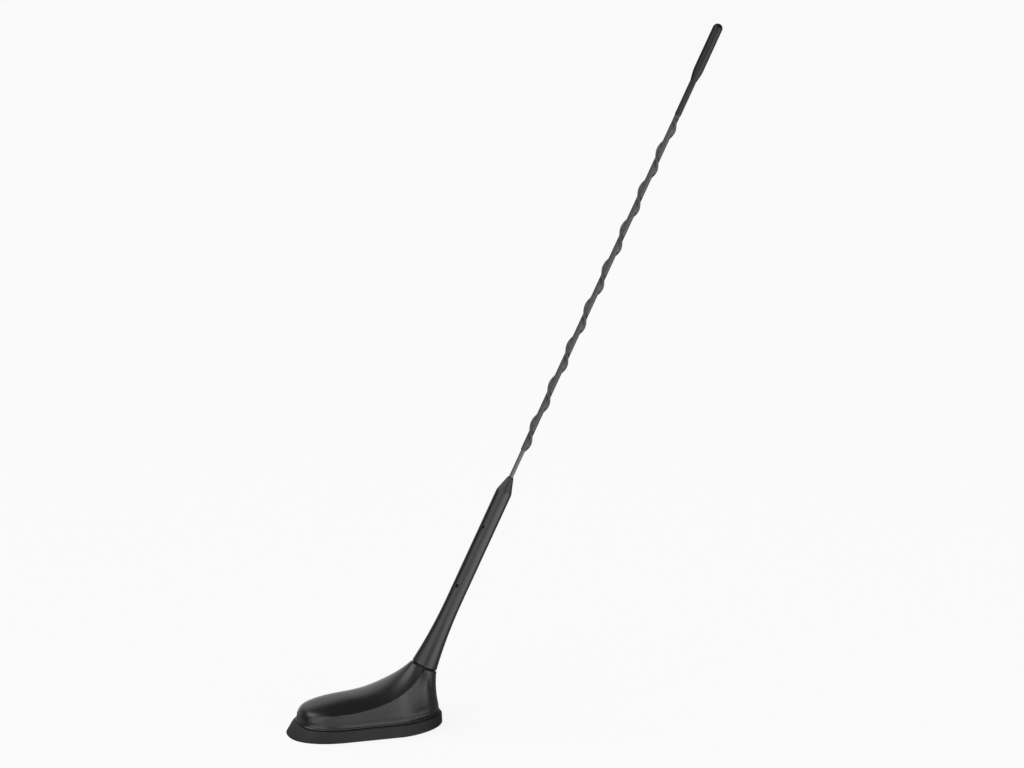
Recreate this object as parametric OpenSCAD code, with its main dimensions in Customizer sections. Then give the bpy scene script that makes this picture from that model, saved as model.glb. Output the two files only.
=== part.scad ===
// Roof aerial for a car: a teardrop housing on a rubber gasket, whose neck carries
// a mast that leans back and screws out. The nose points to -X, the roof is z = 0,
// and the origin is on the axis of the roof bolt.

/* [Mast] */
// Length of the mast above the neck
mast_length = 402.6; // [390:0.2:415]
// Lean of the mast back from upright, in degrees
mast_lean = 25.8; // [24:0.1:28]
// Diameter of the steel rod
rod_d = 2.4; // [2:0.1:2.6]
// Length of the moulded ferrule
ferrule_length = 118.6; // [110:0.2:125]
// Diameter of the ferrule's straight part
ferrule_d = 9.2; // [8.4:0.1:9.6]
// Diameter of the ferrule where it meets the neck
ferrule_foot_d = 15; // [14:0.1:15.2]

/* [Spiral and tip] */
// Distance that one turn of the spiral climbs
spiral_pitch = 24.5; // [22:0.1:24.6]
// Number of turns of the spiral
spiral_turns = 8.4; // [6:0.1:8.4]
// Diameter of the cord wound round the rod
spiral_cord_d = 1.2; // [0.8:0.1:1.4]
// Wall of the shrink sleeve
sleeve_wall = 0.4; // [0.3:0.05:0.5]
// Length of the tip cap
cap_length = 35.6; // [30:0.2:40]
// Diameter of the tip cap
cap_d = 5.7; // [5:0.1:6.5]

/* [Housing] */
// Width of the housing's wall above its lip
wall_width = 38; // [37:0.5:39]
// Height of the neck's middle above the roof
neck_height = 34.6; // [33:0.1:37]
// Distance of the neck's middle behind the roof bolt
neck_back = 35.1; // [34:0.1:36]
// Diameter of the neck's rim
neck_d = 16; // [15:0.1:17]
// Height of the crease at the nose
crease_height = 15.6; // [14:0.1:17]
// Height of the crown behind the nose
crown_height = 21.2; // [20:0.1:23]
// Thickness of the moulded wall
wall = 2.4; // [2:0.1:2.6]

/* [Gasket] */
// Height of the rubber gasket
gasket_height = 7; // [6.6:0.1:7.4]
// Width of the gasket at the roof
gasket_width = 43.4; // [42:0.2:45]

/* [Roof fixing] */
// Tapping diameter of the bolt's threaded hole
bolt_hole_d = 5; // [4:0.1:5.5]
// Depth of the bolt's threaded hole
bolt_hole_depth = 8.7; // [7:0.1:8.9]
// Bore of the coaxial jack's shell
jack_bore_d = 6.8; // [6:0.1:7]

/* [Hidden] */
$fn = 48;

// An outline seen from above: nose x, start and end of its straight sides, tail x,
// half its width, and how square its front and rear corners are
roof_line = [-46, -15.8, 15.8, 45.6, gasket_width / 2, 2.27, 1.6];
rim_line = [-40.3, -13.4, 12, 45.1, 20.7, 2.8, 1.8];
wall_line = [-37.9, -12.5, 12, 43.2, wall_width / 2, 2.6, 1.8];
arc_steps = 24;
side_steps = 6;

// Seats between the gasket, the plate and the housing
gasket_floor = 3;
flange_top = 4.6;
plate_top = 6;
pocket_inset = 3;
rib_inset = 3.2;
rib_wall = 1.6;
plate_inset = 5.6;
opening_inset = 8;

// The neck and the thread under it, measured along the mast from the ferrule's foot
neck_gap = 0.5;
neck_chamfer = 0.5;
seal_thickness = 1.5;
seal_r = 6.1;
socket_r = 4.5;
socket_length = 15;
socket_collar = 2.5;
socket_tail = 4.5;
thread_r = 2.5;
thread_clearance = 0.04;
thread_length = 10;

// The board and what holds it
board_z = 10.5;
board_thickness = 1.6;
board_from = -23;
board_to = 22;
board_half_width = 11.4;
post_places = [[-27, 7], [-27, -7], [26, 7], [26, -7]];
standoff_places = [[-20, 8.6], [-20, -8.6], [14, 8.6], [14, -8.6]];
jack_x = -18.5;
jack_r = 4.2;
jack_mouth_z = 1;
jack_step_z = 6;
contact_r = 1.2;
pin_r = 0.6;

// The stretches of the mast, measured from the ferrule's foot
barrel_r = 3.2;
barrel_length = 24;
sleeve_from = 135.3;
end_sleeve_from = 345.5;
cap_from = mast_length - cap_length;
end_sleeve_wall = 0.2;
rod_r = rod_d / 2;
sleeve_r = rod_r + sleeve_wall;

function lerp(a, b, f) = a + (b - a) * f;
function limit(v, low, high) = min(max(v, low), high);
function power(v, n) = sign(v) * pow(abs(v), n);
function inset(o, q) = [o[0] + q, o[1], o[2], o[3] - q, o[4] - q, o[5], o[6]];

// The outline's points, from the tail round by the left side to the nose and back
function outline(o) = concat(
    [for (i = [0 : arc_steps]) let (a = -90 + 180 * i / arc_steps)
        [o[2] + (o[3] - o[2]) * power(cos(a), 2 / o[6]), o[4] * power(sin(a), 2 / o[6])]],
    [for (i = [1 : side_steps - 1]) [lerp(o[2], o[1], i / side_steps), o[4]]],
    [for (i = [0 : arc_steps]) let (a = 90 + 180 * i / arc_steps)
        [o[1] + (o[1] - o[0]) * power(cos(a), 2 / o[5]), o[4] * power(sin(a), 2 / o[5])]],
    [for (i = [1 : side_steps - 1]) [lerp(o[1], o[2], i / side_steps), -o[4]]]);
points_round = len(outline(rim_line));

function at_height(points, z) = [for (p = points) [p[0], p[1], z]];
function between(a, b, f) = [for (i = [0 : len(a) - 1]) lerp(a[i], b[i], f)];

// A point on the mast's axis, and one beside it at a radius and an angle
lean_sin = sin(mast_lean);
lean_cos = cos(mast_lean);
function on_axis(w) = [neck_back + w * lean_sin, 0, neck_height + w * lean_cos];
function beside_axis(w, r, a) =
    on_axis(w) + [r * cos(a) * lean_cos, r * sin(a), -r * cos(a) * lean_sin];

// The crease between the wall and the hood: it runs low along the wall and then
// sweeps up to the neck, which it reaches a little in front of the neck's side
nose_rake = 2.2;
crease_climb = 0.0056;
sweep_from = 150;
sweep_to = 113;
sweep_power = 2.9;
neck_share = 0.96;
function crease_z(x, q) = crease_height - 0.8 * q + crease_climb * pow(max(x + 20, 0), 2);
function crease_line(q) = inset(wall_line, q + 0.5) + [nose_rake, 0, 0, 0, 0, 0, 0];
function direction_of(p) = atan2(p[1], p[0] - neck_back);
function sweep(a) =
    neck_share * pow(limit((sweep_from - abs(a)) / (sweep_from - sweep_to), 0, 1), sweep_power);
function neck_ring(w, r) = [for (p = outline(wall_line)) beside_axis(w, r, direction_of(p))];
function crease_ring(q, w, r) =
    let (foot = outline(crease_line(q)), top = neck_ring(w, r))
    [for (i = [0 : points_round - 1])
        let (p = foot[i])
        lerp([p[0], p[1], crease_z(p[0], q)], top[i], sweep(direction_of(outline(wall_line)[i])))];

// The crown line along the middle: a rounded nose, a flat back and a sweep up the neck
nose_round = 17;
nose_power = 2.1;
crown_slope = 0.05;
sweep_rise = 14.2;
arch_power = 2.5;
function crown_line(x, q) =
    crown_height - q + crown_slope * (x + 25) + sweep_rise * pow(max(x + 15, 0) / 43, 3);
function crown_z(x, q) =
    let (start = crease_line(q)[0], low = crease_z(start, q),
         u = limit((start + nose_round - x) / nose_round, 0, 1))
    low + (crown_line(x, q) - low) * pow(1 - pow(u, nose_power), 1 / nose_power);
function hood_z(x, y, q, widths, heights) =
    let (top = crown_z(x, q), edge = lookup(x, heights), half = max(lookup(x, widths), 0.1))
    top - (top - edge) * pow(min(abs(y) / half, 1), arch_power);

// Rings of the hood, from the crease to the neck
hood_steps = 9;
function hood_rings(q, w, r) =
    let (low = crease_ring(q, w, r), high = neck_ring(w, r),
         left = [for (p = low) if (p[1] > -0.01) p],
         widths = [for (p = left) [p[0], p[1]]], heights = [for (p = left) [p[0], p[2]]])
    [for (j = [1 : hood_steps - 1]) let (f = pow(j / hood_steps, 1.9))
        [for (i = [0 : points_round - 1])
            let (p = lerp(low[i], high[i], f),
                 swept = abs(direction_of(outline(wall_line)[i])) > sweep_to,
                 miss_low = low[i][2] - hood_z(low[i][0], low[i][1], q, widths, heights),
                 miss_high = high[i][2] - hood_z(high[i][0], high[i][1], q, widths, heights))
            swept ? [p[0], p[1], hood_z(p[0], p[1], q, widths, heights)
                                 + lerp(miss_low, miss_high, f)] : p]];

// The lip's section: its height above the gasket and how far it has drawn in to the wall
lip_section = [[0.4, 0], [0.8, 0], [1.05, 0.35], [1.3, 0.7], [1.7, 0.92], [2.3, 1]];
seat_line = inset(rim_line, 0.9);
seam_bevel = 0.4;
neck_rim_w = -neck_gap;
neck_low_w = neck_rim_w - neck_chamfer;

// Rings of the wall, which is hollowed a little where it leans in under the neck
wall_hollow = 0.8;
function wall_rings(z) =
    let (low = at_height(outline(wall_line), z), high = crease_ring(0, neck_low_w, neck_d / 2))
    [for (f = [0.33, 0.67]) [for (i = [0 : points_round - 1])
        let (a = direction_of(low[i]), hollow = wall_hollow * 4 * f * (1 - f) * sweep(a))
        lerp(low[i], high[i], f) - hollow * [cos(a), sin(a), 0]]];

// A closed skin over rings of points, the lowest first
module skin(rings) {
    n = len(rings[0]);
    last = len(rings) - 1;
    polyhedron(
        points = [for (ring = rings) each ring],
        faces = concat(
            [[for (i = [0 : n - 1]) i]],
            [for (j = [0 : last - 1], i = [0 : n - 1])
                let (a = j * n + i, b = j * n + (i + 1) % n) [a, b + n, b]],
            [for (j = [0 : last - 1], i = [0 : n - 1])
                let (a = j * n + i, b = j * n + (i + 1) % n) [a, a + n, b + n]],
            [[for (i = [n - 1 : -1 : 0]) last * n + i]]));
}

module slab(o, low, high) {
    translate([0, 0, low]) linear_extrude(high - low) polygon(outline(o));
}
module along_mast(w) {
    translate(on_axis(w)) rotate([0, mast_lean, 0]) children();
}
module post(place, r, low, high) {
    translate([place[0], place[1], low]) cylinder(r = r, h = high - low);
}

// The housing: a lipped wall, a crease, and a hood that sweeps up into the neck
cavity_top_w = -10;
cavity_top_r = 6;
housing_post_r = 3;
screw_r = 1.25;
screw_depth = 9;
neck_boss_r = 7.2;
socket_low_w = -seal_thickness - socket_length;
housing_skin = concat(
    [at_height(outline(inset(seat_line, seam_bevel)), gasket_height)],
    [for (s = lip_section)
        at_height(between(outline(seat_line), outline(wall_line), s[1]), gasket_height + s[0])],
    wall_rings(gasket_height + lip_section[len(lip_section) - 1][0]),
    [crease_ring(0, neck_low_w, neck_d / 2)],
    hood_rings(0, neck_low_w, neck_d / 2),
    [neck_ring(neck_low_w, neck_d / 2)],
    [neck_ring(neck_rim_w, neck_d / 2 - neck_chamfer)]);
cavity_line = inset(rim_line, rib_inset + rib_wall);
cavity_skin = concat(
    [at_height(outline(cavity_line), flange_top - 1)],
    [at_height(outline(cavity_line), gasket_height + 1)],
    [at_height(outline(inset(wall_line, wall)), gasket_height + 4)],
    [crease_ring(wall, cavity_top_w, cavity_top_r)],
    hood_rings(wall, cavity_top_w, cavity_top_r),
    [neck_ring(cavity_top_w, cavity_top_r)]);

module housing() {
    color("#2b2b29") difference() {
        union() {
            skin(housing_skin);
            slab(inset(rim_line, rib_inset), flange_top, gasket_height + 0.5);
        }
        difference() {
            skin(cavity_skin);
            for (p = post_places) post(p, housing_post_r, plate_top, 40);
            along_mast(socket_low_w) cylinder(r = neck_boss_r, h = socket_length + 5);
        }
        for (p = post_places) post(p, screw_r + 0.03, 0, plate_top + screw_depth);
        along_mast(socket_low_w - 1) cylinder(r = socket_r + 0.04, h = socket_length + 4);
        along_mast(socket_low_w - 1) cylinder(r = socket_r + 0.84, h = socket_collar + 1.04);
        along_mast(-seal_thickness) cylinder(r = seal_r + 0.3, h = 4);
    }
}

// The gasket: a skirt that slopes out to the roof, with a sealing groove underneath
skirt_section = [[0.6, 0.02], [2, 0.22], [3.6, 0.46], [5, 0.68], [6.2, 0.9]];
module base_gasket() {
    color("#333330") difference() {
        skin(concat(
            [at_height(outline(inset(roof_line, 0.5)), 0)],
            [for (s = skirt_section)
                at_height(between(outline(roof_line), outline(rim_line), s[1]), s[0])],
            [at_height(outline(rim_line), gasket_height - 0.4)],
            [at_height(outline(inset(rim_line, 0.2)), gasket_height - 0.1)],
            [at_height(outline(inset(rim_line, 0.6)), gasket_height)]));
        slab(inset(rim_line, pocket_inset), gasket_floor, gasket_height + 1);
        slab(inset(rim_line, opening_inset), -1, gasket_height);
        difference() {
            slab(inset(roof_line, 4.5), -1, 0.9);
            slab(inset(rim_line, opening_inset - 1.8), -2, 2);
        }
    }
}

// The die-cast plate: a flange for the housing's rib, a boss for the roof bolt,
// stand-offs for the board, and recesses under it for the housing's screws
boss_r = 9;
boss_low = 0.3;
boss_top = 9.6;
screw_head_r = 2.8;
screw_head_h = 1.6;
board_screw_r = 0.8;
module base_plate() {
    color("#9a9a98") difference() {
        union() {
            slab(inset(rim_line, rib_inset), gasket_floor, flange_top);
            slab(inset(rim_line, plate_inset), gasket_floor, plate_top);
            post([0, 0], boss_r, boss_low, plate_top);
            post([0, 0], boss_r - 2.5, plate_top, boss_top);
            for (p = standoff_places) post(p, 2.4, plate_top, board_z);
        }
        post([0, 0], bolt_hole_d / 2, 0, boss_low + bolt_hole_depth);
        post([jack_x, 0], jack_r, 0, board_z);
        for (p = post_places) post(p, 1.6, 0, board_z);
        for (p = post_places) post(p, screw_head_r + 0.2, 0, gasket_floor + screw_head_h);
        for (p = standoff_places) post(p, board_screw_r, plate_top + 0.5, board_z + 1);
        for (side = [-1, 1])
            translate([19, side * 4.4, gasket_floor - 1]) cube([9, 7, 4.2], center = true);
    }
}

module plate_seal() {
    color("#1c1c1c") difference() {
        slab(inset(rim_line, rib_inset + rib_wall), flange_top, plate_top);
        slab(inset(rim_line, plate_inset), flange_top - 1, plate_top + 1);
    }
}

// The toothed ring that bites through the roof's paint to earth the plate
tooth_count = 12;
ring_r = 12;
ring_low = 2.4;
module earth_ring() {
    color("#b5b5b0") difference() {
        union() {
            post([0, 0], ring_r, ring_low, gasket_floor);
            for (i = [0 : tooth_count - 1])
                rotate([0, 0, 360 * i / tooth_count])
                    translate([ring_r - 0.4, 0, ring_low]) rotate([90, 0, -90])
                        linear_extrude(1.2) polygon([[-1.3, 0.3], [0, -2.2], [1.3, 0.3]]);
        }
        post([0, 0], boss_r, 0, 4);
    }
}

module housing_screws() {
    color("#8c8c88") for (p = post_places) difference() {
        union() {
            post(p, screw_head_r, gasket_floor, gasket_floor + screw_head_h);
            post(p, screw_r, gasket_floor, plate_top + screw_depth - 1);
        }
        translate([p[0], p[1], 2]) cylinder(r = 1.3, h = 2, $fn = 6);
    }
}

// The threaded brass insert in the neck, with a collar under the plastic and a tail
module mast_socket() {
    color("#b08d3c") along_mast(socket_low_w) difference() {
        union() {
            difference() {
                cylinder(r = socket_r, h = socket_length);
                for (h = [5, 8, 11]) translate([0, 0, h]) difference() {
                    cylinder(r = socket_r + 1, h = 1);
                    cylinder(r = socket_r - 0.4, h = 1);
                }
            }
            cylinder(r = socket_r + 0.8, h = socket_collar);
            translate([0, 0, -socket_tail]) cylinder(r = 2, h = socket_tail + 1);
        }
        translate([0, 0, socket_length - thread_length - 2]) cylinder(r = thread_r, h = 30);
    }
}

// A bent strip's outline: its centre line thickened to both sides
function heading(p, i) =
    let (a = p[max(i - 1, 0)], b = p[min(i + 1, len(p) - 1)], v = b - a) v / norm(v);
function ribbon(p, t) = concat(
    [for (i = [0 : len(p) - 1]) p[i] + t / 2 * [-heading(p, i)[1], heading(p, i)[0]]],
    [for (i = [len(p) - 1 : -1 : 0]) p[i] - t / 2 * [-heading(p, i)[1], heading(p, i)[0]]]);

board_top = board_z + board_thickness;
strip_t = 0.4;
strip_w = 4;
module socket_contact() {
    end = on_axis(socket_low_w - socket_tail - strip_t / 2);
    tip = [end[0], end[2]];
    slope = [lean_cos, -lean_sin];
    pad_z = board_top + strip_t / 2;
    path = [[15, pad_z], [18.5, pad_z], [19.6, pad_z + 0.4], tip - 4.2 * slope - [0.6, 0.6],
            tip - 3.2 * slope, tip - 2 * slope, tip + 1.5 * slope];
    color("#c9a24a") translate([0, strip_w / 2, 0]) rotate([90, 0, 0])
        linear_extrude(strip_w) polygon(ribbon(path, strip_t));
}

function rounded(x0, x1, y, r) =
    [for (q = [0 : 3], i = [0 : 4])
        let (a = 90 * q + 90 * i / 4 + 180,
             c = [[x0 + r, -y + r], [x1 - r, -y + r], [x1 - r, y - r], [x0 + r, y - r]][q])
        c + r * [cos(a), sin(a)]];
module tray(x0, x1, y, r, low, high) {
    translate([0, 0, low]) linear_extrude(high - low) polygon(rounded(x0, x1, y, r));
}

module amplifier_board() {
    color("#1f5a3a") difference() {
        tray(board_from, board_to, board_half_width, 2.5, board_z, board_top);
        for (p = standoff_places) post(p, board_screw_r, board_z - 1, board_top + 1);
        post([jack_x, 0], pin_r, board_z - 1, board_top + 1);
    }
}

// Parts on the board: the amplifier, its filter coils and small chips
chip_places = [[-9, 3, 5, 4, 1.5], [-9, -4, 3.2, 2.5, 1.4], [-2, 4.5, 2, 1.2, 0.6],
               [-2, 1.5, 2, 1.2, 0.6], [-2, -2, 2.6, 2.6, 1.6], [4, 3.5, 2, 1.2, 0.6],
               [4, -1, 3.2, 1.6, 1], [4, -5, 2, 1.2, 0.6]];
module amplifier_chips() {
    color("#26262a") for (c = chip_places)
        translate([c[0] - c[2] / 2, c[1] - c[3] / 2, board_top]) cube([c[2], c[3], c[4]]);
}

can_from = -14;
can_to = 9;
can_half_width = 8.2;
can_height = 3.2;
can_wall = 0.4;
module shield_can() {
    color("#c4c4c0") difference() {
        tray(can_from, can_to, can_half_width, 1, board_top, board_top + can_height);
        tray(can_from + can_wall, can_to - can_wall, can_half_width - can_wall, 0.6,
             board_top - 1, board_top + can_height - can_wall);
        for (x = [-10 : 4 : 6], y = [-4, 0, 4]) post([x, y], 0.6, board_top, board_top + 9);
    }
}

module board_screws() {
    color("#c8c8c4") for (p = standoff_places) difference() {
        union() {
            post(p, 1.8, board_top, board_top + 1.2);
            post(p, board_screw_r, board_z - 3.5, board_top);
        }
        translate([p[0], p[1], board_top + 0.6]) cylinder(r = 0.8, h = 2, $fn = 6);
    }
}

// The jack: a plated shell whose clear bore takes the cable's plug, a white core
// behind it, and a sprung contact sunk in the core for the plug's own pin
module coax_jack() {
    color("#c0b070") difference() {
        post([jack_x, 0], jack_r, jack_mouth_z, board_z);
        post([jack_x, 0], jack_bore_d / 2, 0, jack_step_z);
        post([jack_x, 0], jack_bore_d / 2 - 0.4, 0, board_z + 1);
    }
}
module jack_insulator() {
    color("#e6e6e0") difference() {
        post([jack_x, 0], jack_bore_d / 2 - 0.4, jack_step_z, board_z);
        post([jack_x, 0], contact_r, 0, board_z - 0.7);
        post([jack_x, 0], pin_r, 0, board_z + 1);
    }
}
module centre_contact() {
    color("#d4b45a") difference() {
        union() {
            post([jack_x, 0], contact_r, jack_step_z + 0.2, board_z - 0.7);
            post([jack_x, 0], pin_r, board_z - 1, board_top + 0.6);
        }
        post([jack_x, 0], 0.5, 0, board_z - 1.5);
        translate([jack_x - 2, -0.15, jack_step_z - 1]) cube([4, 0.3, 3.4]);
    }
}

module neck_seal() {
    color("#171717") along_mast(-seal_thickness) difference() {
        cylinder(r = seal_r, h = seal_thickness);
        translate([0, 0, -1]) cylinder(r = thread_r + 0.4, h = seal_thickness + 2);
    }
}

// The stud: a thread, an undercut, a flange inside the ferrule and a crimped barrel
stud_flange = 1.5;
rod_low = 8;
module mast_stud() {
    r = thread_r - thread_clearance;
    color("#a8a8a4") along_mast(0) difference() {
        union() {
            rotate_extrude() polygon([
                [0, -thread_length], [r - 0.6, -thread_length], [r, 0.6 - thread_length],
                [r, -1.2], [2, -0.8], [2, 0], [4.4, 0], [4.4, stud_flange],
                [barrel_r, stud_flange], [barrel_r, barrel_length], [0, barrel_length]]);
        }
        translate([0, 0, rod_low]) cylinder(r = rod_r, h = barrel_length);
    }
}

rod_top = mast_length - 6;
module mast_rod() {
    color("#6f6f6c") along_mast(rod_low) cylinder(r = rod_r, h = rod_top - rod_low);
}

// The ferrule: a flared foot, a straight grip and a cone, with two moulding pits
flare_length = 42;
flare_power = 2.1;
flare_steps = 14;
cone_length = 9.7;
foot_edge = 0.4;
pit_r = 0.9;
pit_depth = 0.7;
pits = [[49.3, -132], [85.6, -151]];
module ferrule() {
    foot = ferrule_foot_d / 2;
    grip = ferrule_d / 2;
    flare = [for (i = [0 : flare_steps]) let (f = i / flare_steps)
        [grip + (foot - grip) * pow(1 - f, flare_power), foot_edge + f * flare_length]];
    cone = ferrule_length - cone_length;
    color("#30302e") along_mast(0) difference() {
        rotate_extrude() polygon(concat(
            [[0, 0], [foot - foot_edge, 0]], flare,
            [[grip, cone], [grip - 0.25, cone + 1.1], [grip - 0.7, cone + 2.4],
             [rod_r + 0.7, ferrule_length - 0.8], [rod_r + 0.35, ferrule_length],
             [0, ferrule_length]]));
        translate([0, 0, -1]) cylinder(r = 4.4, h = stud_flange + 1);
        cylinder(r = barrel_r, h = barrel_length);
        cylinder(r = rod_r, h = ferrule_length + 1);
        for (p = pits) rotate([0, 0, p[1]]) translate([grip - pit_depth, 0, p[0]])
            rotate([0, 90, 0]) cylinder(r = pit_r, h = 5);
    }
}

// The cord wound round the rod, left-handed, and the sleeve shrunk over both. The
// sleeve's section is the outline of a band drawn tight round the rod and the cord.
ring_steps = 13;
spiral_start_w = sleeve_from + 0.7;
spiral_end_w = spiral_start_w + spiral_turns * spiral_pitch;
spiral_left_w = 152.3;
spiral_left_angle = 156.7;
cord_r = spiral_cord_d / 2;
cord_orbit = rod_r + cord_r + 0.05;
band_slope = acos((rod_r - cord_r) / cord_orbit);
function spiral_angle(w) = spiral_left_angle - 360 * (w - spiral_left_w) / spiral_pitch;
function band_r(d, skin) =
    let (small = cord_r + skin, big = rod_r + skin,
         turn = atan2(small * sin(band_slope), cord_orbit + small * cos(band_slope)))
    abs(d) < turn ? cord_orbit * cos(d) + sqrt(pow(small, 2) - pow(cord_orbit * sin(d), 2))
    : abs(d) < band_slope ? big / cos(band_slope - abs(d)) : big;
band_angles = [0, 10, 18, 72, 108, 144, 180, 216, 252, 288, 342, 350];
function signed(a) = a > 180 ? a - 360 : a;
function band_ring(w, skin, f) = [for (d = band_angles)
    let (a = spiral_angle(w) + d, r = lerp(rod_r + skin, band_r(signed(d), skin), f))
    [r * cos(a), r * sin(a), w]];
// The cord's own section, square to the way it climbs
cord_climb = atan2(spiral_pitch, 2 * PI * cord_orbit);
cord_sides = 8;
function cord_ring(w) = [for (i = [0 : cord_sides - 1])
    let (b = 360 * i / cord_sides, a = spiral_angle(w), out = cord_orbit + cord_r * cos(b),
         along = cord_r * sin(b))
    [out * cos(a) - along * sin(cord_climb) * sin(a),
     out * sin(a) + along * sin(cord_climb) * cos(a), w + along * cos(cord_climb)]];

module spiral_cord() {
    step = spiral_pitch / ring_steps;
    rings = round(spiral_turns * ring_steps);
    color("#3a3a37") along_mast(0)
        skin([for (i = [0 : rings]) cord_ring(spiral_start_w + i * step)]);
}

// A closed tube with its outer and inner rings given from the bottom to the top. The
// inner rings run back down, so their quads are split the other way.
module tube_skin(outer, inner) {
    rings = concat(outer, [for (i = [len(inner) - 1 : -1 : 0]) inner[i]]);
    n = len(rings[0]);
    all = n * len(rings);
    quads = [for (j = [0 : len(rings) - 1], i = [0 : n - 1])
        let (a = j * n + i, b = j * n + (i + 1) % n)
        j < len(outer) ? [a, b, (b + n) % all, (a + n) % all]
                       : [b, (b + n) % all, (a + n) % all, a]];
    polyhedron(points = [for (ring = rings) each ring],
               faces = concat([for (q = quads) [q[0], q[2], q[1]]],
                              [for (q = quads) [q[0], q[3], q[2]]]));
}

sleeve_fade = 3;
sleeve_slack = 0.08;
module mast_sleeve() {
    step = spiral_pitch / ring_steps;
    fade_w = spiral_end_w + sleeve_fade;
    stations = concat(
        [[sleeve_from, 0.8]],
        [for (w = [spiral_start_w : step : spiral_end_w]) [w, 1]],
        [[spiral_end_w + 0.3, 1], [spiral_end_w + 1.2, 0.55], [fade_w, 0], [cap_from, 0]]);
    function turned(s, skin) = let (ring = band_ring(min(s[0], fade_w), skin, s[1]))
        [for (p = ring) [p[0], p[1], s[0]]];
    color("#353532") along_mast(0) tube_skin(
        [for (s = stations) turned(s, sleeve_wall)],
        [for (s = stations) turned(s, sleeve_slack + 0.09 * (1 - s[1]))]);
}

// The second, short sleeve that holds the first one's end below the cap
module end_sleeve() {
    color("#2a2a28") along_mast(end_sleeve_from) difference() {
        cylinder(r = sleeve_r + end_sleeve_wall, h = cap_from - end_sleeve_from);
        translate([0, 0, -1]) cylinder(r = sleeve_r, h = cap_from);
    }
}

cap_taper = 6.8;
cap_steps = 8;
module tip_cap() {
    r = cap_d / 2;
    low = sleeve_r + end_sleeve_wall + 0.05;
    color("#1d1d1c") along_mast(cap_from) difference() {
        rotate_extrude() polygon(concat(
            [[0, 0], [low, 0], [lerp(low, r, 0.45), cap_taper * 0.34],
             [lerp(low, r, 0.82), cap_taper * 0.68], [r, cap_taper]],
            [for (i = [0 : cap_steps]) let (a = 90 * i / cap_steps)
                [r * cos(a), cap_length - r + r * sin(a)]]));
        translate([0, 0, -1]) cylinder(r = rod_r, h = rod_top - cap_from + 1);
    }
}

housing();
base_gasket();
base_plate();
plate_seal();
earth_ring();
housing_screws();
mast_socket();
socket_contact();
amplifier_board();
amplifier_chips();
shield_can();
board_screws();
coax_jack();
jack_insulator();
centre_contact();
neck_seal();
mast_stud();
mast_rod();
ferrule();
spiral_cord();
mast_sleeve();
end_sleeve();
tip_cap();
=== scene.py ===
# %% [markdown]
# # A car's roof aerial, dressed in Blender
#
# The aerial has three parts that move against each other: the base that is bolted to
# the roof, the seal in its neck, and the mast that screws out. The frame brings in
# their solids. Here each solid either gets a finish, or gives way to a finer mesh of
# the same size. All lengths are millimetres until a mesh is made, because that is how
# the maker thinks of them, and Blender then gets metres.

import math

import bpy
import numpy as np
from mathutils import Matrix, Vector


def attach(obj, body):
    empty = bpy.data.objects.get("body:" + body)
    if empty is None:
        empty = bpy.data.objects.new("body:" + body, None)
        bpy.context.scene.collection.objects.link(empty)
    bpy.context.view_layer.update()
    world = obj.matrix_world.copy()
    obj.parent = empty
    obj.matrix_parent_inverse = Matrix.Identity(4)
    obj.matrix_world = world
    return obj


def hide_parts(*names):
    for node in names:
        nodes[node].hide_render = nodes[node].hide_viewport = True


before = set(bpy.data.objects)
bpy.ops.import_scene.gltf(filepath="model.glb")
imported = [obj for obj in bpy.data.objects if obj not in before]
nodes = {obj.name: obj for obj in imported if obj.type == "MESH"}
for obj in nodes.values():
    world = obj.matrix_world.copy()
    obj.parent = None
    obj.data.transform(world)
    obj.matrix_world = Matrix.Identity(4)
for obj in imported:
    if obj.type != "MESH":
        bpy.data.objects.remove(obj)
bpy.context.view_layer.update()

# %% [markdown]
# ## Sums on sockets
#
# A finish or a rule for a shape is mostly arithmetic. Placing Math nodes by hand is slow
# to write and hard to read, so a small class wraps a socket and lets Python's own signs
# build the nodes. The same class serves materials and Geometry Nodes, because both have
# the Math node. Every other node comes from one method, which sets the node's own
# settings first and then its sockets.


# %% The wire and the graph
class Wire:
    """An output socket on which ordinary sums build Math nodes."""

    def __init__(self, graph, socket):
        self.graph, self.socket = graph, socket

    def out(self, name):
        return Wire(self.graph, self.socket.node.outputs[name])

    def maths(self, operation, *others):
        return self.graph.maths(operation, self, *others)

    def __add__(self, other):
        return self.graph.maths("ADD", self, other)

    def __sub__(self, other):
        return self.graph.maths("SUBTRACT", self, other)

    def __mul__(self, other):
        return self.graph.maths("MULTIPLY", self, other)

    def __truediv__(self, other):
        return self.graph.maths("DIVIDE", self, other)

    def __radd__(self, other):
        return self.graph.maths("ADD", other, self)

    def __rsub__(self, other):
        return self.graph.maths("SUBTRACT", other, self)

    def __lt__(self, other):
        return self.graph.maths("LESS_THAN", self, other)

    def __gt__(self, other):
        return self.graph.maths("GREATER_THAN", self, other)


class Graph:
    """A node tree that is filled from Python."""

    def __init__(self, tree):
        self.tree = tree

    def add(self, kind, settings=None, sockets=None, output=0):
        node = self.tree.nodes.new(kind)
        for name, value in (settings or {}).items():
            setattr(node, name, value)
        for key, value in (sockets or {}).items():
            if isinstance(value, Wire):
                self.tree.links.new(value.socket, node.inputs[key])
            else:
                node.inputs[key].default_value = value
        return Wire(self, node.outputs[output]) if len(node.outputs) else node

    def maths(self, operation, *values):
        return self.add("ShaderNodeMath", {"operation": operation}, dict(enumerate(values)))

    def either(self, test, yes, no):
        """yes where the test gives 1, no where it gives 0."""
        return no + test * (yes - no)

    def mix(self, share, first, second):
        sockets = {0: share, 6: first, 7: second}
        return self.add("ShaderNodeMix", {"data_type": "RGBA"}, sockets, output=2)


print("signs that build nodes: + - * / < >")

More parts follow.
